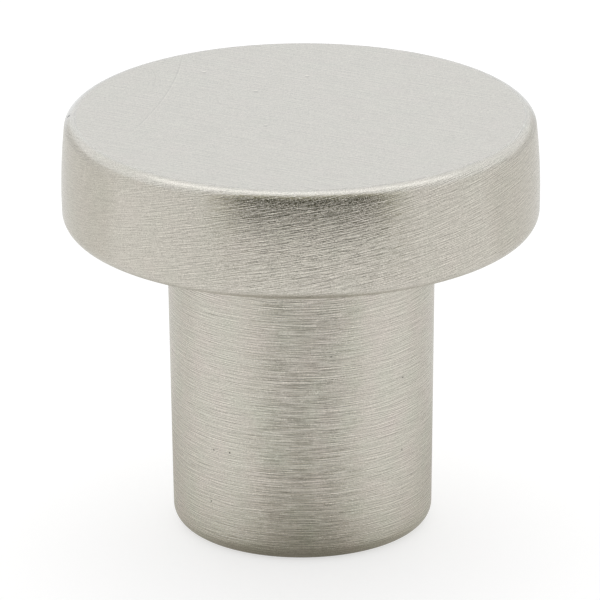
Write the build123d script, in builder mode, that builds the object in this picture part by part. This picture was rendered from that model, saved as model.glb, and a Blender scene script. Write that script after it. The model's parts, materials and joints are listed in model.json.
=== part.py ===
from build123d import *
import os
from math import radians, sqrt, tan

# Round disc cabinet knob: a thick disc head on a straight neck, cast and brushed as one piece.
# Millimetres. +Z runs along the knob's axis, away from the cabinet front, and the origin is
# the centre of the seat, the flat face that meets the cabinet front.

# Head, the disc that is gripped
head_diameter = 32.0  # across the widest circle of its rim
head_thickness = 7.5
rim_crown_radius = 42.0  # the rim bulges a little, as an arc of this radius
rim_crest_height = 2.4  # the widest circle's height above the head's underside
upper_rim_round = 0.8
lower_rim_round = 1.1

# Neck, the stem that holds the head away from the cabinet front
neck_length = 21.15
neck_root_diameter = 18.0  # where the neck meets the head
neck_draft = 0.75  # degrees that each side leans in towards the seat, for the casting die
neck_root_round = 0.5
seat_round = 1.15

# Blind hole for the mounting screw, drilled for an M4 thread
screw_drill_diameter = 3.3
screw_hole_depth = 13.0  # from the seat to the end of the straight wall
screw_mouth_diameter = 4.6
screw_mouth_angle = 90.0  # full angle of the countersunk mouth
drill_point_angle = 118.0  # full angle of the cone that the drill leaves

# Sizes worked out from those above
head_radius = head_diameter / 2
neck_root_radius = neck_root_diameter / 2
seat_radius = neck_root_radius - neck_length * tan(radians(neck_draft))
underside_height = neck_length
crest_height = underside_height + rim_crest_height
top_height = underside_height + head_thickness
screw_drill_radius = screw_drill_diameter / 2
drill_point_length = screw_drill_radius / tan(radians(drill_point_angle / 2))


def rim_radius(height):
    """Radius of the crowned rim at a height above the seat."""
    rise = height - crest_height
    return head_radius - rim_crown_radius + sqrt(rim_crown_radius**2 - rise**2)


with BuildPart() as knob:
    # The turned outline, as a half section to the right of the axis
    with BuildSketch(Plane.XZ) as half_section:
        with BuildLine() as outline:
            seat_to_underside = Polyline(
                (0, 0),
                (seat_radius, 0),
                (neck_root_radius, underside_height),
                (rim_radius(underside_height), underside_height),
            )
            rim = ThreePointArc(
                seat_to_underside @ 1,
                (head_radius, crest_height),
                (rim_radius(top_height), top_height),
            )
            Polyline(rim @ 1, (0, top_height), (0, 0))
        make_face()
    revolve(axis=Axis.Z)

    # Soft edges, from the seat up
    seat_edge = knob.edges().filter_by(GeomType.CIRCLE).group_by(Axis.Z)[0]
    fillet(seat_edge, radius=seat_round)

    underside = knob.faces().filter_by(Axis.Z).group_by(Axis.Z)[1]
    underside_edges = underside.edges().filter_by(GeomType.CIRCLE).sort_by(SortBy.RADIUS)
    fillet(underside_edges[0], radius=neck_root_round)

    underside = knob.faces().filter_by(Axis.Z).group_by(Axis.Z)[1]
    underside_edges = underside.edges().filter_by(GeomType.CIRCLE).sort_by(SortBy.RADIUS)
    fillet(underside_edges[-1], radius=lower_rim_round)

    upper_rim_edge = knob.edges().filter_by(GeomType.CIRCLE).group_by(Axis.Z)[-1]
    fillet(upper_rim_edge, radius=upper_rim_round)

    # Screw hole, drilled up into the neck from the seat
    seat = knob.faces().filter_by(Axis.Z).sort_by(Axis.Z)[0]
    with Locations(seat):
        CounterSinkHole(
            radius=screw_drill_radius,
            counter_sink_radius=screw_mouth_diameter / 2,
            depth=screw_hole_depth,
            counter_sink_angle=screw_mouth_angle,
        )
    with Locations((0, 0, screw_hole_depth)):
        Cone(
            bottom_radius=screw_drill_radius,
            top_radius=0,
            height=drill_point_length,
            align=(Align.CENTER, Align.CENTER, Align.MIN),
            mode=Mode.SUBTRACT,
        )

knob.part.label = "knob"

os.makedirs("parts", exist_ok=True)
export_step(knob.part, "parts/knob.step")
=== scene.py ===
# %% [markdown]
# # A brushed nickel cabinet knob
#
# The knob is one casting: a thick disc head on a straight neck, plated with nickel and brushed by
# hand on a belt. Everything that makes it look real is in three things: a clean turned outline
# with soft edges, brush strokes that run the right way on each surface, and a studio that gives
# the metal something bright and something dark to mirror.
#
# The lesson starts from the finished solid. It is loaded as a fixed frame, and all sizes below
# are in metres in that same frame: +Z runs along the knob's axis, and the seat lies on z = 0.

# %% Load the solid
import json
from math import atan2, cos, dist, floor, pi, radians, sin, sqrt, tan

import bmesh
import bpy
from mathutils import Matrix, Vector


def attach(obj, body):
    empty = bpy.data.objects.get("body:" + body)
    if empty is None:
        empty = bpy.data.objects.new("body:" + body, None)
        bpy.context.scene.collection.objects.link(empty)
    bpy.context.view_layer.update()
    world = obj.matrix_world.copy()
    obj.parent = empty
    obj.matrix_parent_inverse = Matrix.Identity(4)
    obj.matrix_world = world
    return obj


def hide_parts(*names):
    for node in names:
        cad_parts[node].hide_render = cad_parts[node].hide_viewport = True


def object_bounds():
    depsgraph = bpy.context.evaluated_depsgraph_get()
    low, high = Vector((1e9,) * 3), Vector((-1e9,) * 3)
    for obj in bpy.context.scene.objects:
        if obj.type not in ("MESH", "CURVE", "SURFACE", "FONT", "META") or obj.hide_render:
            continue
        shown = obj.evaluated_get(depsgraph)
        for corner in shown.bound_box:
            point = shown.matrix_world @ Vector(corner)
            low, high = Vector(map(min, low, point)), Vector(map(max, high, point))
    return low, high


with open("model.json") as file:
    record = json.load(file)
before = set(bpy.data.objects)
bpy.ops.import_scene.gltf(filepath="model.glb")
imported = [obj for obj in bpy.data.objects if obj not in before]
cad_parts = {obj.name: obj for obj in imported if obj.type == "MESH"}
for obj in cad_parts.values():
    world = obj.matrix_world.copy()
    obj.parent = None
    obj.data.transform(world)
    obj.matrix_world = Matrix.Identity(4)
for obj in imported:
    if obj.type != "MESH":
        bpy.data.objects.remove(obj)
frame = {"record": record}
cad_low, cad_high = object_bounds()
print("the solid reaches from", tuple(cad_low), "to", tuple(cad_high))

# %% [markdown]
# ## Sizes
#
# The overall size and the screw hole are read from the frame, so they can't drift away from the
# solid. The other sizes are the driving dimensions of the turned outline, in millimetres.

# %% Sizes of the knob
mm = 0.001

head_radius = min(cad_high.x, cad_high.y, -cad_low.x, -cad_low.y)
top_height = cad_high.z
head_thickness = 7.5 * mm
rim_crown_radius = 42.0 * mm
rim_crest_height = 2.4 * mm
upper_rim_round = 0.8 * mm
lower_rim_round = 1.1 * mm
neck_root_radius = 9.0 * mm
neck_draft = radians(0.75)
neck_root_round = 0.5 * mm
seat_round = 1.15 * mm
mouth_radius = 2.3 * mm
drill_point_angle = radians(118.0)

screw_hole = next(m for m in frame["record"]["mounts"] if m["name"] == "screw_hole")
bore_radius = screw_hole["dims"]["r_mm"] * mm
bore_end = screw_hole["pos_m"][2] + screw_hole["dims"]["length_mm"] * mm / 2
underside_height = top_height - head_thickness
crest_height = underside_height + rim_crest_height
print("head", 2 * head_radius / mm, "mm across, screw hole", bore_end / mm, "mm deep")

# %% [markdown]
# ## The outline
#
# A turned piece is easiest to make from its half outline, spun about the axis. The solid's own
# mesh could be shown as it is, but its facets are cut for a machine to read, and brushed metal
# shows every uneven facet as a flaw in the highlight. So the same outline is drawn again here,
# as lines and true arcs, and spun much finer.

# %% Lines and arcs
crown_centre = (head_radius - rim_crown_radius, crest_height)


def stretch(start, end, steps):
    """Evenly spaced points (radius, height) along a straight stretch."""
    shares = [step / steps for step in range(steps + 1)]
    return [
        (start[0] + (end[0] - start[0]) * share, start[1] + (end[1] - start[1]) * share)
        for share in shares
    ]


def bend(centre, radius, start, end, steps):
    """Points (radius, height) along an arc, with its angles counted from straight outwards."""
    angles = [start + (end - start) * step / steps for step in range(steps + 1)]
    return [(centre[0] + radius * cos(a), centre[1] + radius * sin(a)) for a in angles]


def rim_round_centre(rounding, height):
    """Centre of a round that touches the crowned rim from inside, at a given height."""
    rise = height - crest_height
    reach = sqrt((rim_crown_radius - rounding) ** 2 - rise**2)
    return crown_centre[0] + reach, height


def neck_radius(height):
    """Radius of the drafted neck at a height above the seat."""
    return neck_root_radius - (underside_height - height) * tan(neck_draft)


def facing(centre):
    """Direction from the crown's centre to another centre, as an angle."""
    return atan2(centre[1] - crown_centre[1], centre[0] - crown_centre[0])


# %% Draw the outline
right_angle = pi / 2
face_steps = 18
round_steps = 12
crown_steps = 16
root_steps = 8
underside_steps = 8
neck_steps = 30
seat_steps = 10

upper_centre = rim_round_centre(upper_rim_round, top_height - upper_rim_round)
lower_centre = rim_round_centre(lower_rim_round, underside_height + lower_rim_round)
root_level = underside_height - neck_root_round
root_centre = (neck_radius(root_level) + neck_root_round / cos(neck_draft), root_level)
seat_centre = (neck_radius(seat_round) - seat_round / cos(neck_draft), seat_round)
crown_top = facing(upper_centre)
crown_foot = facing(lower_centre)

face = stretch((0.0, top_height), (upper_centre[0], top_height), face_steps)
upper_rim = bend(upper_centre, upper_rim_round, right_angle, crown_top, round_steps)
crown = bend(crown_centre, rim_crown_radius, crown_top, crown_foot, crown_steps)
lower_rim = bend(lower_centre, lower_rim_round, crown_foot, -right_angle, round_steps)
underside = stretch(lower_rim[-1], (root_centre[0], underside_height), underside_steps)
root = bend(root_centre, neck_root_round, right_angle, pi - neck_draft, root_steps)
seat_edge = bend(seat_centre, seat_round, -neck_draft, -right_angle, round_steps)
neck = stretch(root[-1], seat_edge[0], neck_steps)
seat = stretch(seat_edge[-1], (mouth_radius, 0.0), seat_steps)
print("the neck narrows from", neck[0][0] / mm, "to", neck[-1][0] / mm, "mm in radius")

# %% [markdown]
# ## The screw thread
#
# The hole in the seat takes an M4 machine screw. Its thread could be a V swept along a helix and
# cut out with a boolean, which is slow and leaves slivers. A hole's wall is a height field: each
# point has an angle, a height and one radius. So the wall is a fine grid of rings, and a formula
# pushes it outwards where the groove runs. The countersunk mouth is the same idea: wherever its
# cone is wider than the thread, the cone wins.

# %% Wall of the screw hole
thread_pitch = 0.7 * mm
thread_depth = 0.38 * mm
rows_per_turn = 9
untapped_end = 1.5 * mm
run_out = 1.4 * mm
flat_share = 0.15
tapped_end = bore_end - untapped_end


def eased(share):
    """A smooth step from 0 to 1."""
    held = min(max(share, 0.0), 1.0)
    return held * held * (3 - 2 * held)


def hole_radius(angle, height):
    """Radius of the threaded wall, or of the countersunk mouth where that is wider."""
    turn = height / thread_pitch - angle / (2 * pi)
    groove = 1 - abs(2 * (turn - floor(turn)) - 1)
    groove = min(max(groove * (1 + 2 * flat_share) - flat_share, 0.0), 1.0)
    cut = groove * thread_depth * eased((tapped_end - height) / run_out)
    return max(bore_radius + cut, mouth_radius - height)


hole_rows = round(bore_end / thread_pitch * rows_per_turn)
hole_heights = [bore_end * row / hole_rows for row in range(1, hole_rows + 1)]
drill_tip = bore_end + bore_radius / tan(drill_point_angle / 2)
print("thread of", round(tapped_end / thread_pitch, 1), "turns on", hole_rows, "rings")

# %% [markdown]
# ## Spinning the outline
#
# Blender's Screw modifier could spin the outline, but then the thread would need a second object.
# Building the rings directly keeps the knob one closed skin, as the casting is, and lets each
# strip of faces get its own finish as it is made: the face, the rim, the neck, and the bare
# turned seat with its hole.
#
# Three numbers are written on every point for the finishes to read later. The climb is the height
# along the outline, which falls from the middle of the face down to the seat, so strokes keep
# their width round the soft edges, where height alone would stretch them. The edge share says
# where a soft edge is polished most. The matt share says where the belt didn't reach.

# %% Rings and strips
turn_steps = 240
finishes = ["brushed_face", "brushed_rim", "brushed_neck", "turned_seat"]
angles = [2 * pi * step / turn_steps for step in range(turn_steps)]
skin = bmesh.new()
climb_layer = skin.verts.layers.float.new("outline_climb")
edge_layer = skin.verts.layers.float.new("edge_share")
matt_layer = skin.verts.layers.float.new("matt_share")


def point_at(x, y, height, climb, edge_share=0.0, matt_share=0.0):
    """One point of the skin, with the three numbers that the finishes read."""
    point = skin.verts.new((x, y, height))
    point[climb_layer] = climb
    point[edge_layer] = edge_share
    point[matt_layer] = matt_share
    return point


def ring_at(radii, height, *numbers):
    """One ring of points, with a radius for each angle."""
    turns = zip(radii, angles)
    return [point_at(r * cos(a), r * sin(a), height, *numbers) for r, a in turns]


def strip_between(above, below, finish):
    """Faces between two rings, or a ring and a tip, wound so that they look out of the metal."""
    for step in range(turn_steps):
        after = (step + 1) % turn_steps
        corners = [above[step % len(above)], below[step % len(below)]]
        corners += [below[after % len(below)], above[after % len(above)]]
        made = skin.faces.new(list(dict.fromkeys(corners)))
        made.material_index = finishes.index(finish)
        made.smooth = True


print("rings of", turn_steps, "points")

# %% [markdown]
# The face and the rim meet in a soft edge. Belt and hands polish the middle of that edge, and its
# upper end keeps the face's matt. The lower round turns away from the belt and gets more matt on
# its way to the underside. Each section of the outline therefore says how its two shares change
# along it, as a small function of how far along it is, from 0 to 1.

# %% Shares along the outline
polished_part = 0.7


def none(along):
    """Nowhere along the section."""
    return 0.0


def full(along):
    """Everywhere along the section."""
    return 1.0


def growing(along):
    """Evenly more along the section."""
    return along


def fading(along):
    """Less and less along the section, fast at first."""
    return (1.0 - along) ** 2


def in_the_middle(along):
    """Most in the middle of the section."""
    return sin(pi * along)


def before_the_end(along):
    """Most in the middle of the section's polished part."""
    return sin(pi * min(along / polished_part, 1.0))


sections = [
    (face, "brushed_face", none, none),
    (upper_rim, "brushed_rim", before_the_end, fading),
    (crown, "brushed_rim", none, none),
    (lower_rim, "brushed_rim", none, growing),
    (underside, "brushed_rim", none, full),
    (root, "brushed_neck", none, none),
    (neck, "brushed_neck", none, none),
    (seat_edge, "brushed_neck", in_the_middle, none),
    (seat, "turned_seat", none, none),
]
polished_length = polished_part * upper_rim_round * (right_angle - crown_top)
print(len(sections), "sections, with", round(polished_length / mm, 2), "mm of polished edge")

# %% Spin the sections and the hole
climb = 0.0
last_ring = [point_at(0.0, 0.0, top_height, climb)]
for points, finish, edge_at, matt_at in sections:
    for step in range(1, len(points)):
        radius, height = points[step]
        climb -= dist(points[step - 1], points[step])
        along = step / (len(points) - 1)
        ring = ring_at([radius] * turn_steps, height, climb, edge_at(along), matt_at(along))
        strip_between(last_ring, ring, finish)
        last_ring = ring
for height in hole_heights:
    ring = ring_at([hole_radius(a, height) for a in angles], height, climb - height)
    strip_between(last_ring, ring, "turned_seat")
    last_ring = ring
drill_point = [point_at(0.0, 0.0, drill_tip, climb - drill_tip)]
strip_between(last_ring, drill_point, "turned_seat")
print("the skin has", len(skin.faces), "faces and", len(skin.verts), "points")

# %% [markdown]
# ## The knob
#
# The skin becomes one Blender object. A Weighted Normal modifier evens the shading where long and
# short faces meet. The four finishes are still empty.

# %% Make the knob object
knob_mesh = bpy.data.meshes.new("knob_body")
skin.to_mesh(knob_mesh)
skin.free()
for finish in finishes:
    knob_mesh.materials.append(bpy.data.materials.new(finish))

knob = bpy.data.objects.new("knob_body", knob_mesh)
bpy.context.scene.collection.objects.link(knob)
knob.modifiers.new("even_normals", "WEIGHTED_NORMAL")
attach(knob, "root")
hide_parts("knob")
print("knob_body is", tuple(knob.dimensions))


# %% [markdown]
# ## Node helpers
#
# Materials are trees of nodes. They could be wired one link at a time, which takes many lines. A
# few small helpers keep them readable: one makes a node and fills or links its sockets, and the
# others are one step of arithmetic each.

# %% Node helpers
def node(tree, kind, sockets=None, **settings):
    """A new shader node. Each socket gets a value, or a link where the value is a socket."""
    made = tree.nodes.new("ShaderNode" + kind)
    for name, value in settings.items():
        setattr(made, name, value)
    for name, value in (sockets or {}).items():
        if isinstance(value, bpy.types.NodeSocket):
            tree.links.new(value, made.inputs[name])
        else:
            made.inputs[name].default_value = value
    return made


def maths(tree, operation, *numbers):
    """One step of arithmetic, as a socket."""
    return node(tree, "Math", dict(enumerate(numbers)), operation=operation).outputs[0]


def product(tree, first, *others):
    """The product of two or more numbers."""
    total = first
    for other in others:
        total = maths(tree, "MULTIPLY", total, other)
    return total


def ramp(tree, value, start, end, low=0.0, high=1.0):
    """A smooth step from low to high while the value goes from start to end."""
    ends = {"From Min": start, "From Max": end, "To Min": low, "To Max": high}
    made = node(tree, "MapRange", {"Value": value, **ends}, interpolation_type="SMOOTHSTEP")
    return made.outputs["Result"]


def blend(tree, layers, shares, start=0.0):
    """A start, plus every named layer times its share."""
    total = start
    for name, share in shares.items():
        total = maths(tree, "MULTIPLY_ADD", layers[name], share, total)
    return total


# %% Vector helpers
def moved(tree, amount, change, base):
    """A colour, moved from a base by an amount of a change."""
    parts = {0: amount, 1: change, 2: base}
    return node(tree, "VectorMath", parts, operation="MULTIPLY_ADD").outputs["Vector"]


def scaled(tree, vector, factors):
    """A vector with each part times its own factor."""
    parts = {0: vector, 1: factors}
    return node(tree, "VectorMath", parts, operation="MULTIPLY").outputs["Vector"]


def measure(tree, operation, *vectors):
    """The length, distance or dot product of vectors, as a number."""
    made = node(tree, "VectorMath", dict(enumerate(vectors)), operation=operation)
    return made.outputs["Value"]


def split(tree, vector):
    """The x, y and z of a vector."""
    return node(tree, "SeparateXYZ", {"Vector": vector}).outputs


def object_place(tree):
    """Where a point lies in the frame of its object."""
    return node(tree, "TexCoord").outputs["Object"]


def written(tree, name):
    """A number that is written on the points of the mesh."""
    return node(tree, "Attribute", attribute_name=name).outputs["Fac"]


# %% [markdown]
# ## Brush strokes
#
# A belt leaves a tangle of short grooves that all run nearly the same way. An image of scratches
# would need a UV map, and its seam would show on a round piece. Noise in three dimensions has no
# seam: stretched along the stroke and squeezed across it, it turns into grooves. A Mapping node
# of the Texture type takes the stroke's real length and width as its scale, and the belt's slant
# as its rotation.
#
# Three things come from that noise. Strokes are the grooves themselves, and layers of them start
# in other places of the noise, so that they don't lie on each other. Lip shading is the same strokes
# less a copy that is shifted sideways, painted into the colour, so each groove gets a painted
# highlight on one lip and painted shade on the other, as if lit from one side. Even grain isn't
# stretched at all, and is the grit between the grooves.

# %% Strokes
waviness = 0.15
no_shift = (0.0, 0.0, 0.0)
second_start = (0.05, 0.05, 0.05)
third_start = (0.11, 0.11, 0.11)


def metal_place(tree):
    """Where a point lies: x and y across the axis, and the climb along the outline as z."""
    spot = split(tree, object_place(tree))
    climb = written(tree, "outline_climb")
    parts = {"X": spot["X"], "Y": spot["Y"], "Z": climb}
    return node(tree, "CombineXYZ", parts).outputs[0]


def strokes(tree, place, size, start=no_shift, slant=no_shift):
    """Brush strokes of a real size, as noise around one half."""
    settings = {"Vector": place, "Rotation": slant, "Scale": size, "Location": start}
    laid = node(tree, "Mapping", settings, vector_type="TEXTURE").outputs[0]
    noise = {"Vector": laid, "Scale": 1.0, "Detail": 0.0, "Distortion": waviness}
    return node(tree, "TexNoise", noise).outputs["Fac"]


def painted_lip_shading(tree, place, size, sideways, slant=no_shift):
    """Painted shading of the strokes as if lit from one side: one lip painted bright, one dark."""
    near = strokes(tree, place, size, slant=slant)
    far = strokes(tree, place, size, sideways, slant)
    return maths(tree, "SUBTRACT", near, far)


def even_grain(tree, place, size, detail=0.0):
    """Grain that runs no way in particular, as noise around one half."""
    noise = {"Vector": place, "Scale": 1 / size, "Detail": detail}
    return node(tree, "TexNoise", noise).outputs["Fac"]


def around_axis(length, width):
    """Size of strokes that run around the axis."""
    return (length, length, width)


# %% [markdown]
# ## Small marks
#
# A used knob has a few marks that belong to it alone: pits in the plating, dark specks, a dot, a
# nick and two hairline scratches. They could be painted on an image, but then the pixels would
# show close up. Here each is worked out from its place on the metal. A spot is a little ellipsoid
# around a point, and a hairline is a stretch of a large circle.

# %% Marks
spot_core = 0.4
hair_width = 0.06 * mm
hair_core = 0.3


def spot_mark(tree, place, centre, reach):
    """1 in the middle of a small spot and 0 outside it."""
    settings = {"Vector": place, "Location": centre, "Scale": reach}
    around = node(tree, "Mapping", settings, vector_type="TEXTURE").outputs[0]
    return ramp(tree, measure(tree, "LENGTH", around), spot_core, 1.0, 1.0, 0.0)


def all_spots(tree, place, centres, reach):
    """Many spots of one size, as one mask."""
    mask = 0.0
    for centre in centres:
        mask = maths(tree, "MAXIMUM", mask, spot_mark(tree, place, centre, reach))
    return mask


def hairline(tree, place, centre, radius, ends, fade):
    """1 along an arc that lies flat on the face, between two values of y."""
    first_y, last_y = ends
    away = measure(tree, "DISTANCE", place, centre)
    off_line = maths(tree, "ABSOLUTE", maths(tree, "SUBTRACT", away, radius))
    line = ramp(tree, off_line, hair_width * hair_core, hair_width, 1.0, 0.0)
    y = split(tree, place)["Y"]
    begun = ramp(tree, y, first_y, first_y + fade)
    unended = ramp(tree, y, last_y - fade, last_y, 1.0, 0.0)
    return product(tree, line, begun, unended)


def on_side(radius, angle_from_front, height):
    """A point on the side of the knob, by its angle from the front, positive to the right."""
    angle = radians(angle_from_front)
    return (radius * sin(angle), -radius * cos(angle), height)


# %% [markdown]
# ## Nickel
#
# Satin nickel is a metal with a warm grey tint. Fine grooves blur a reflection far more across
# the strokes than along them, which is what Anisotropic does. The tangent says which way the blur
# runs: around Z it follows the rim and the neck, and a quarter turn sets it across the strokes.
# The plate is never one colour either. It drifts a little between pinker and greener patches.
#
# Every finish is then a mix of layers in three recipes: the tone, which makes the plate's colour
# lighter or darker, the roughness, and the height of the grooves in microns.

# %% Nickel
micron = 1e-6
stroke_blur = 0.6
quarter_turn = 0.25
patch_size = 2.0 * mm
patch_detail = 1.0
nickel_colour = (0.602, 0.573, 0.5075)
pink_change = (0.034, -0.008, 0.015)


def start_finish(name):
    """The emptied node tree of one of the knob's finishes."""
    material = knob_mesh.materials[name]
    material.use_nodes = True
    material.node_tree.nodes.clear()
    print("finish", name)
    return material.node_tree


def plate_colour(tree, place, patchiness):
    """The plate's colour, which drifts from greener to pinker in soft patches."""
    drift = even_grain(tree, place, patch_size, patch_detail)
    change = [part * patchiness for part in pink_change]
    greenest = [middle - part / 2 for middle, part in zip(nickel_colour, change)]
    return moved(tree, drift, change, greenest)


def nickel(tree, colour, tone, roughness, height, tangent_axis="Z", blur_turn=quarter_turn):
    """Brushed nickel, from its colour, its tone, its roughness and its height in metres."""
    toned = node(tree, "VectorMath", {0: colour, "Scale": tone}, operation="SCALE")
    groove = node(tree, "Bump", {"Strength": 1.0, "Distance": 1.0, "Height": height})
    tangent = node(tree, "Tangent", direction_type="RADIAL", axis=tangent_axis)
    metal = node(
        tree,
        "BsdfPrincipled",
        {
            "Base Color": toned.outputs[0],
            "Metallic": 1.0,
            "Roughness": roughness,
            "Anisotropic": stroke_blur,
            "Anisotropic Rotation": blur_turn,
            "Tangent": tangent.outputs[0],
            "Normal": groove.outputs[0],
        },
    )
    node(tree, "OutputMaterial", {"Surface": metal.outputs[0]})


# %% [markdown]
# ## The face
#
# The face was drawn straight across a fine belt, so its strokes are straight, very fine and
# slanted. It keeps four pits and two hairlines. A pit is only a few grooves wide, too small to
# model, so it is drawn as what the eye sees of it: painted shade on its front side and a painted
# highlight on its back side. A reach of a whole metre in z means that the height makes no
# difference to a mark or stroke.

# %% Marks on the face
any_height = 1.0
pit_reach = (0.22 * mm, 0.14 * mm, any_height)
pits = [(-6.51, 8.97), (-2.97, 4.90), (-2.28, -2.13), (0.47, 7.99)]
half_pit = 0.1
# Each pit gets painted shade on its front side and a painted highlight on its back side.
pit_painted_shades = [(x * mm, (y - half_pit) * mm, 0.0) for x, y in pits]
pit_painted_highlights = [(x * mm, (y + half_pit) * mm, 0.0) for x, y in pits]

long_centre = (-59.7 * mm, 14.6 * mm, top_height)
long_radius = 51.7 * mm
long_lip_radius = 51.8 * mm
long_ends = (-4.0 * mm, 12.9 * mm)
long_fade = 2.8 * mm
short_centre = (-17.74 * mm, 7.6 * mm, top_height)
short_radius = 7.96 * mm
short_ends = (5.6 * mm, 10.8 * mm)
short_fade = 1.5 * mm

tree = start_finish("brushed_face")
place = object_place(tree)
hairs = {
    "long": hairline(tree, place, long_centre, long_radius, long_ends, long_fade),
    "short": hairline(tree, place, short_centre, short_radius, short_ends, short_fade),
    "long_lip": hairline(tree, place, long_centre, long_lip_radius, long_ends, long_fade),
}
hair_shares = {"long": 1.0, "short": 0.9, "long_lip": -0.7}
print(len(pits), "pits, and hairlines with radii of", long_radius / mm, "and", short_radius / mm, "mm")

# %% Face
face_slant = radians(-29)
face_patchiness = 0.4
fine_size = (2.5 * mm, 0.055 * mm, any_height)
broad_size = (6.0 * mm, 0.30 * mm, any_height)
lip_size = (3.0 * mm, 0.12 * mm, any_height)
lip_shift = (0.0, 0.08 * mm, 0.0)
grain_size = 0.06 * mm
face_tone = 0.72
face_roughness = 0.31
# In the tone, the lip layer is painted shading of the grooves.
tone_shares = {"fine": 0.20, "painted_lip_shading": 0.33, "grain": 0.52, "hairs": -0.11, "pit_painted_shade": -0.40, "pit_painted_highlight": 0.25}
roughness_shares = {"fine": 0.06}
height_shares = {"fine": 3 * micron, "broad": 2 * micron, "hairs": -4 * micron}

slant = (0.0, 0.0, face_slant)
layers = {
    "fine": strokes(tree, place, fine_size, slant=slant),
    "broad": strokes(tree, place, broad_size, second_start, slant),
    "painted_lip_shading": painted_lip_shading(tree, place, lip_size, lip_shift, slant),
    "grain": even_grain(tree, place, grain_size),
    "hairs": blend(tree, hairs, hair_shares),
    # The two pit layers are painted shade and a painted highlight.
    "pit_painted_shade": all_spots(tree, place, pit_painted_shades, pit_reach),
    "pit_painted_highlight": all_spots(tree, place, pit_painted_highlights, pit_reach),
}
across_face = 2 * quarter_turn + face_slant / (2 * pi)
nickel(
    tree,
    plate_colour(tree, place, face_patchiness),
    blend(tree, layers, tone_shares, face_tone),
    blend(tree, layers, roughness_shares, face_roughness),
    blend(tree, layers, height_shares),
    "X",
    across_face,
)
print("the face mixes", len(layers), "layers")

# %% [markdown]
# ## The rim
#
# The rim was rolled along the belt by hand, a little askew, so its strokes climb to the right,
# most of all on the left. They could be drawn at a slant as on the face, but a slanted stroke
# doesn't close around a rim. So the place where the noise is read slides up and down instead.
# Towards both ends the belt pressed less, and the strokes get fainter.

# %% Lean and pressure of the rim's strokes
rim_rise = 0.15
rim_curl = 10.0
left_start = -14 * mm
left_full = -5 * mm
left_least = 0.28
right_full = 10 * mm
right_end = 15.5 * mm
right_least = 0.7
edge_calm = 0.7


def leaning(tree, place):
    """A place on the rim, slid so that level strokes climb to the right, more so on the left."""
    x, y, climb = split(tree, place)
    leftward = maths(tree, "MINIMUM", x, 0.0)
    slid = {"rise": x, "curl": product(tree, leftward, leftward)}
    lean = blend(tree, slid, {"rise": -rim_rise, "curl": rim_curl}, climb)
    return node(tree, "CombineXYZ", {"X": x, "Y": y, "Z": lean}).outputs[0]


def pressure(tree, place, edge):
    """How strongly the belt marked the rim: less to both ends and on the polished edge."""
    x = split(tree, place)["X"]
    from_left = ramp(tree, x, left_start, left_full, left_least, 1.0)
    to_right = ramp(tree, x, right_full, right_end, 1.0, right_least)
    calm = maths(tree, "MULTIPLY_ADD", edge, -edge_calm, 1.0)
    return product(tree, from_left, to_right, calm)


# %% [markdown]
# The rim's upper round goes from the face's matt to a polished edge, and its lower round and the
# underside are matt. Small sharp peaks between the grooves catch the light, which shows as sparkle
# where the rim mirrors something dark. One nick and one dark dot belong to this knob alone.

# %% Rim
rim_patchiness = 0.6
fine_size = around_axis(0.8 * mm, 0.055 * mm)
thin_size = around_axis(1.5 * mm, 0.06 * mm)
broad_size = around_axis(2.6 * mm, 0.30 * mm)
deep_size = around_axis(0.9 * mm, 0.08 * mm)
deep_from, deep_full = 0.52, 0.74
lip_shift = (0.0, 0.0, 0.04 * mm)
grit_size = 0.075 * mm
peak_size = 0.06 * mm
peaks_from, peaks_full = 0.55, 0.71
nick_radius = 15.75 * mm
nick_angle = -63.7
nick_climb = -17.2 * mm
nick_place = on_side(nick_radius, nick_angle, nick_climb)
nick_reach = (0.22 * mm, 0.22 * mm, 1.0 * mm)
dot_place = (-15.42 * mm, 0.46 * mm, 28.45 * mm)
dot_reach = (0.20 * mm, 0.20 * mm, 0.13 * mm)
rim_tone = 0.62
rim_roughness = 0.10
# In the tone, the lip layer is painted shading of the grooves.
tone_shares = {
    "fine": 0.20,
    "painted_lip_shading": 0.95,
    "grit": 0.62,
    "deep": -0.05,
    "edge": 0.03,
    "nick": 0.08,
    "dot": -1.8,
}
roughness_shares = {"fine": 0.06, "edge": -0.02, "matt": 0.25}
height_shares = {
    "fine": 2 * micron,
    "thin": 3 * micron,
    "peaks": 11.5 * micron,
    "broad": 2 * micron,
    "deep": -6 * micron,
    "nick": 10 * micron,
}

tree = start_finish("brushed_rim")
place = metal_place(tree)
leaned = leaning(tree, place)
edge = written(tree, "edge_share")
pressed = pressure(tree, place, edge)
deep = strokes(tree, leaned, deep_size, third_start)
layers = {
    "fine": strokes(tree, leaned, fine_size),
    "thin": strokes(tree, leaned, thin_size),
    "broad": strokes(tree, leaned, broad_size, second_start),
    "deep": ramp(tree, deep, deep_from, deep_full),
    "painted_lip_shading": product(tree, painted_lip_shading(tree, leaned, thin_size, lip_shift), pressed),
    "grit": even_grain(tree, place, grit_size),
    "peaks": ramp(tree, even_grain(tree, place, peak_size), peaks_from, peaks_full),
    "edge": edge,
    "matt": written(tree, "matt_share"),
    "nick": spot_mark(tree, place, nick_place, nick_reach),
    "dot": spot_mark(tree, object_place(tree), dot_place, dot_reach),
}
nickel(
    tree,
    plate_colour(tree, place, rim_patchiness),
    blend(tree, layers, tone_shares, rim_tone),
    blend(tree, layers, roughness_shares, rim_roughness),
    product(tree, blend(tree, layers, height_shares), pressed),
)
print("the rim mixes", len(layers), "layers")

# %% [markdown]
# ## The neck
#
# The neck was spun against the belt, so its strokes run straight around, long and a little wavy,
# with a few dark specks where the plate is thin. The specks are placed by their angle from the
# front and their height above the seat, so they lie on the metal from any side.

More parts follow.
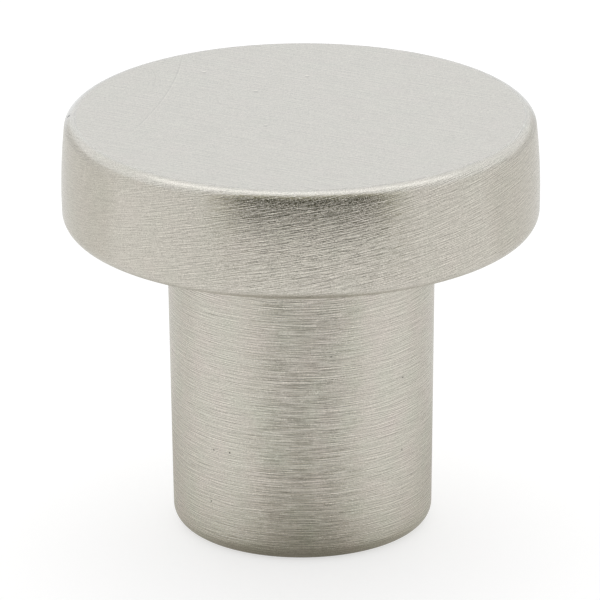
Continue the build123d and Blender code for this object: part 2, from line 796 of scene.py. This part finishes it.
# %% Neck
neck_patchiness = 1.5
fine_size = around_axis(1.9 * mm, 0.04 * mm)
deep_size = around_axis(1.3 * mm, 0.07 * mm)
lip_size = around_axis(1.9 * mm, 0.055 * mm)
peaks_from, peaks_full = 0.52, 0.70
speck_reach = (0.075 * mm, 0.075 * mm, 0.065 * mm)
specks = [(12.5, 14.7), (49.2, 12.1), (-42.1, 7.3), (-33.3, 7.4), (49.1, 6.9), (-44.2, 3.5)]
speck_places = [on_side(neck_radius(level * mm), angle, level * mm) for angle, level in specks]
neck_tone = 0.714
neck_roughness = 0.22
# In the tone, the lip layer is painted shading of the grooves.
tone_shares = {"fine": 0.10, "painted_lip_shading": 0.95, "grit": 0.60, "deep": -0.03, "specks": -1.0}
roughness_shares = {"fine": 0.10, "edge": -0.04}
height_shares = {
    "fine": 23 * micron,
    "peaks": 7 * micron,
    "deep": -4 * micron,
    "specks": -20 * micron,
}

tree = start_finish("brushed_neck")
place = metal_place(tree)
grit = even_grain(tree, place, grit_size)
deep = strokes(tree, place, deep_size, third_start)
layers = {
    "fine": strokes(tree, place, fine_size),
    "deep": ramp(tree, deep, deep_from, deep_full),
    "painted_lip_shading": painted_lip_shading(tree, place, lip_size, lip_shift),
    "grit": grit,
    "peaks": ramp(tree, grit, peaks_from, peaks_full),
    "edge": written(tree, "edge_share"),
    "specks": all_spots(tree, object_place(tree), speck_places, speck_reach),
}
nickel(
    tree,
    plate_colour(tree, place, neck_patchiness),
    blend(tree, layers, tone_shares, neck_tone),
    blend(tree, layers, roughness_shares, neck_roughness),
    blend(tree, layers, height_shares),
)
print("the neck mixes", len(layers), "layers and has", len(specks), "specks")

# %% [markdown]
# ## The seat
#
# The seat meets the cabinet front, so nobody polishes it. It is faced on a lathe, which leaves fine
# even rings, and the screw hole is cut after that. The same strokes make those rings: they are
# only much longer and wider, over soft patches of uneven metal.

# %% Seat
seat_patchiness = 1.0
ring_size = around_axis(12.0 * mm, 0.16 * mm)
uneven_size = 1.2 * mm
uneven_detail = 3.0
seat_tone = 0.80
seat_roughness = 0.26
tone_shares = {"rings": 0.22, "uneven": 0.10}
roughness_shares = {"uneven": 0.20}
height_shares = {"rings": 10 * micron}

tree = start_finish("turned_seat")
place = metal_place(tree)
layers = {
    "rings": strokes(tree, place, ring_size),
    "uneven": even_grain(tree, place, uneven_size, uneven_detail),
}
nickel(
    tree,
    plate_colour(tree, place, seat_patchiness),
    blend(tree, layers, tone_shares, seat_tone),
    blend(tree, layers, roughness_shares, seat_roughness),
    blend(tree, layers, height_shares),
)
print("the seat mixes", len(layers), "layers")

# %% [markdown]
# ## The studio
#
# Bare metal has no colour of its own to speak of: it shows its surroundings. The knob stands on a
# white table in a white room, under a large soft lamp. Behind the camera hangs a dark curtain. It
# draws the soft dark patch on the head and the band down the neck, and without it the knob would
# look like plaster.
#
# The table comes first. The camera sees plain white paper with the knob's shadow on it. What the
# metal mirrors of the table is drawn apart, as a glow with painted shadows, because the neck's
# lower edge looks almost straight into it. The glow gets darker close to the knob, behind it and
# towards the curtain, as painted shadow and painted shade, and warmer where it is darker, as a
# painted warm bounce.

# %% Table top
table_radius = 145 * mm
table_sides = 96

table_mesh = bpy.data.meshes.new("table")
table_skin = bmesh.new()
bmesh.ops.create_circle(table_skin, cap_ends=True, segments=table_sides, radius=table_radius)
table_skin.to_mesh(table_mesh)
table_skin.free()
table = bpy.data.objects.new("table", table_mesh)
bpy.context.scene.collection.objects.link(table)
print("table", 2 * table_radius, "m across")

# %% What the metal mirrors of the table
white = (1.0, 1.0, 1.0, 1.0)
mirrored_table = 0.93
shade_start = -30 * mm
shade_end = -240 * mm
curtain_shade = 0.74
contact_shade = 0.35
contact_centre = (-0.3 * mm, -6 * mm, 0.0)
contact_from = 3 * mm
contact_to = 20 * mm
contact_shape = (1.62, 1.0, 1.0)
wide_shade = 0.65
wide_centre = (0.0, 8 * mm, 0.0)
wide_from = 12 * mm
wide_to = 26 * mm
back_shade = 0.87
back_to = 16 * mm
shade_colour = (1.05, 1.0, 0.82)


def mirrored_paper(tree):
    """The table with its painted shadows, as a glow of its own for the metal to mirror."""
    spot = object_place(tree)
    y = split(tree, spot)["Y"]
    narrowed = scaled(tree, spot, contact_shape)
    from_contact = measure(tree, "DISTANCE", narrowed, contact_centre)
    from_middle = measure(tree, "DISTANCE", spot, wide_centre)
    in_front = ramp(tree, y, shade_end, shade_start, curtain_shade, 1.0)
    contact = ramp(tree, from_contact, contact_from, contact_to, contact_shade, 1.0)
    behind = ramp(tree, y, 0.0, back_to, 1.0, back_shade)
    wide = ramp(tree, from_middle, wide_from, wide_to, wide_shade, 1.0)
    # The level is painted shadow: the knob's contact shadow, a wider soft shadow round it, and painted
    # shade behind it and towards the curtain.
    level = product(tree, in_front, contact, behind, wide)
    clearing = [full_white - shaded for full_white, shaded in zip(white, shade_colour)]
    tint = moved(tree, level, clearing, shade_colour)
    strength = product(tree, level, mirrored_table)
    return node(tree, "Emission", {"Color": tint, "Strength": strength}).outputs[0]


def mirrored_ray(tree):
    """1 for rays that come off metal or through glass."""
    seen = node(tree, "LightPath").outputs
    return maths(tree, "MAXIMUM", seen["Is Glossy Ray"], seen["Is Transmission Ray"])


def camera_ray(tree):
    """1 for rays that come straight from the camera."""
    return node(tree, "LightPath").outputs["Is Camera Ray"]


# %% [markdown]
# The paper itself is a grey diffuse surface with a glow that only the camera sees. Together they
# come out white, and the shadow stays in the grey part. From below the table is clear, so that the
# seat can be looked at.

# %% Table paper
paper_grey = (0.52, 0.52, 0.52, 1.0)
camera_lift = 0.60

table_material = bpy.data.materials.new("table_white")
table_material.use_nodes = True
tree = table_material.node_tree
tree.nodes.clear()
paper = node(tree, "BsdfDiffuse", {"Color": paper_grey}).outputs[0]
lift = product(tree, camera_ray(tree), camera_lift)
glow = node(tree, "Emission", {"Color": white, "Strength": lift}).outputs[0]
seen_paper = node(tree, "AddShader", {0: paper, 1: glow}).outputs[0]
sides = {0: mirrored_ray(tree), 1: seen_paper, 2: mirrored_paper(tree)}
upper_side = node(tree, "MixShader", sides).outputs[0]
clear = node(tree, "BsdfTransparent").outputs[0]
from_below = node(tree, "NewGeometry").outputs["Backfacing"]
surface = node(tree, "MixShader", {0: from_below, 1: upper_side, 2: clear})
node(tree, "OutputMaterial", {"Surface": surface.outputs[0]})
table_mesh.materials.append(table_material)
print("paper", paper_grey[0], "and lifted by", camera_lift)

# %% [markdown]
# ## The room
#
# A room could be built from walls and lit cards. As only the metal ever sees it, it is cheaper to
# write it into the world: a direction goes in, and a brightness comes out. Two numbers describe a
# direction. The frontness is 1 towards the curtain and -1 straight away from it, and the rise is
# 0 at the horizon and 1 overhead.

# %% Directions in the room
curtain_towards = radians(3)
level_only = (1.0, 1.0, 0.0)

room = bpy.data.worlds.new("white_room")
bpy.context.scene.world = room
room.use_nodes = True
tree = room.node_tree
tree.nodes.clear()
direction = node(tree, "TexCoord").outputs["Generated"]
levelled = scaled(tree, direction, level_only)
heading = node(tree, "VectorMath", {0: levelled}, operation="NORMALIZE").outputs[0]
front = (sin(curtain_towards), -cos(curtain_towards), 0.0)
frontness = measure(tree, "DOT_PRODUCT", heading, front)
rise = split(tree, direction)["Z"]
print("the curtain hangs towards", front)

# %% [markdown]
# The walls are a little darker than white beside the knob, darker still further back, and white
# right behind it. Higher up, the walls beside and behind the knob are white too, and overhead a
# bright strip of light draws the thin line along the head's upper edge.

# %% Walls and strip light
side_wall = 0.88
far_side_wall = 0.76
side_from = cos(radians(100))
side_to = cos(radians(125))
behind_from = cos(radians(155))
behind_to = cos(radians(173))
upper_wall_from = sin(radians(9))
upper_wall_full = sin(radians(20))
beside_from = cos(radians(50))
beside_full = cos(radians(80))
overhead_from = sin(radians(46))
overhead_full = sin(radians(54))
strip_light = 1.40
strip_middle = 0.20
strip_half_width = 0.18
strip_fade_out = 0.30

from_behind = ramp(tree, frontness, behind_from, behind_to)
wall = ramp(tree, frontness, side_from, side_to, side_wall, far_side_wall)
wall = maths(tree, "MULTIPLY_ADD", from_behind, 1.0 - far_side_wall, wall)
overhead = ramp(tree, rise, overhead_from, overhead_full)
upper = ramp(tree, rise, upper_wall_from, upper_wall_full)
beside = ramp(tree, frontness, beside_from, beside_full)
from_above = maths(tree, "MAXIMUM", overhead, product(tree, upper, beside))
wall = maths(tree, "MULTIPLY_ADD", from_above, maths(tree, "SUBTRACT", 1.0, wall), wall)
off_strip = maths(tree, "SUBTRACT", split(tree, direction)["Y"], strip_middle)
off_strip = maths(tree, "ABSOLUTE", off_strip)
on_strip = ramp(tree, off_strip, strip_half_width, strip_fade_out, 1.0, 0.0)
strip = product(tree, overhead, on_strip)
wall = maths(tree, "MULTIPLY_ADD", strip, strip_light - 1.0, wall)
print("walls of", far_side_wall, "to 1.0 and a strip of", strip_light)

# %% [markdown]
# The curtain is soft at both sides and at its top, where more light falls on it. It is warm in
# colour, and the light from above and from behind is a little cool. Those tints are faint, but
# bare metal shows them at once.

# %% Curtain and tints
curtain_level = 0.10
curtain_upper_level = 0.30
paler_from = sin(radians(24))
paler_to = sin(radians(50))
curtain_fade_out = cos(radians(53))
curtain_edge = cos(radians(25))
curtain_top = sin(radians(54))
curtain_top_fade = sin(radians(88))
cool_change = (0.01, 0.045, 0.107)
upper_coolness = 0.6
warm_change = (0.01, -0.01, -0.27)

curtain = product(
    tree,
    ramp(tree, frontness, curtain_fade_out, curtain_edge),
    ramp(tree, rise, curtain_top, curtain_top_fade, 1.0, 0.0),
)
curtain_tone = ramp(tree, rise, paler_from, paler_to, curtain_level, curtain_upper_level)
taken = maths(tree, "SUBTRACT", curtain_tone, 1.0)
brightness = product(tree, wall, maths(tree, "MULTIPLY_ADD", curtain, taken, 1.0))
lights = {"above": from_above, "curtain": curtain}
cool_above = blend(tree, lights, {"above": upper_coolness, "curtain": -upper_coolness})
coolness = maths(tree, "MAXIMUM", from_behind, cool_above)
tint = moved(tree, coolness, cool_change, white[:3])
tint = moved(tree, curtain, warm_change, tint)
print("curtain of", curtain_level, "to", curtain_upper_level)

# %% [markdown]
# Only rays that come off metal see this room. The camera sees a plain white background, and the
# table gets an even soft light, so its shadow doesn't depend on the curtain.

# %% Finish the room
room_light = 0.70

mirrored_room = node(tree, "Background", {"Color": tint, "Strength": brightness}).outputs[0]
plain_white = node(tree, "Background", {"Color": white, "Strength": 1.0}).outputs[0]
soft_light = node(tree, "Background", {"Color": white, "Strength": room_light}).outputs[0]
sides = {0: camera_ray(tree), 1: soft_light, 2: plain_white}
shown = node(tree, "MixShader", sides).outputs[0]
sides = {0: mirrored_ray(tree), 1: shown, 2: mirrored_room}
surface = node(tree, "MixShader", sides)
node(tree, "OutputWorld", {"Surface": surface.outputs[0]})
print("room light of", room_light)

# %% [markdown]
# ## The lamp
#
# One large soft box hangs above and behind the knob and gives the table its soft shadow. It is as
# wide as the knob's distance from it, so the shadow has no hard edge. The metal doesn't mirror
# it, because the strip light in the room already stands for it there.

# %% Lamp
lamp_place = Vector((0.0, 0.25, 0.55))
lamp_size = 0.6
lamp_brightness = 1.0

lamp = bpy.data.lights.new("overhead_lamp", "AREA")
lamp.shape = "SQUARE"
lamp.size = lamp_size
lamp.energy = lamp_brightness * pi * lamp_size**2
stand = bpy.data.objects.new("overhead_lamp", lamp)
stand.location = lamp_place
lamp_aim = Vector((0.0, 0.0, top_height / 2)) - lamp_place
stand.rotation_euler = lamp_aim.to_track_quat("-Z", "Y").to_euler()
stand.visible_glossy = False
bpy.context.scene.collection.objects.link(stand)
print("the lamp gives", round(lamp.energy, 3), "W")

# %% [markdown]
# ## The camera
#
# A long lens half a metre away looks down on the knob at about twenty degrees. A long lens keeps
# the neck's sides nearly parallel. The camera could be placed by eye, but here it is worked out:
# how many pixels a millimetre takes at the knob gives the lens, and the place of one point of the
# axis in the picture gives the aim.

# %% Aim the camera
camera_distance = 500 * mm
camera_elevation = radians(20.524)
camera_roll = -0.006
pixels_per_mm = 14.8642
target = Vector((0.0, 0.0, 14 * mm))
target_right_of_centre = 1.566
target_below_centre = 20.768

back = Vector((0.0, -cos(camera_elevation), sin(camera_elevation)))
level_right = Vector((1.0, 0.0, 0.0))
level_up = back.cross(level_right)
eye = target + camera_distance * back
offset_right = -target_right_of_centre / pixels_per_mm * mm
offset_up = target_below_centre / pixels_per_mm * mm
rolled_right = cos(camera_roll) * level_right + sin(camera_roll) * level_up
rolled_up = cos(camera_roll) * level_up - sin(camera_roll) * level_right
aim = target + offset_right * rolled_right + offset_up * rolled_up
view_back = (eye - aim).normalized()
view_right = rolled_up.cross(view_back).normalized()
view_up = view_back.cross(view_right)
print("the camera stands at", tuple(eye))

# %% Camera
picture_size = 600
sensor_width = 36.0
nearest_seen = 10 * mm
farthest_seen = 10.0

camera_data = bpy.data.cameras.new("camera")
camera_data.sensor_width = sensor_width
camera_data.lens = sensor_width * pixels_per_mm * camera_distance / mm / picture_size
camera_data.clip_start = nearest_seen
camera_data.clip_end = farthest_seen
camera = bpy.data.objects.new("camera", camera_data)
turned = Matrix((view_right, view_up, view_back)).transposed()
camera.matrix_world = Matrix.Translation(eye) @ turned.to_4x4()
bpy.context.scene.collection.objects.link(camera)
bpy.context.scene.camera = camera
bpy.context.scene.view_settings.view_transform = "Standard"
print("lens", round(camera_data.lens, 1), "mm")
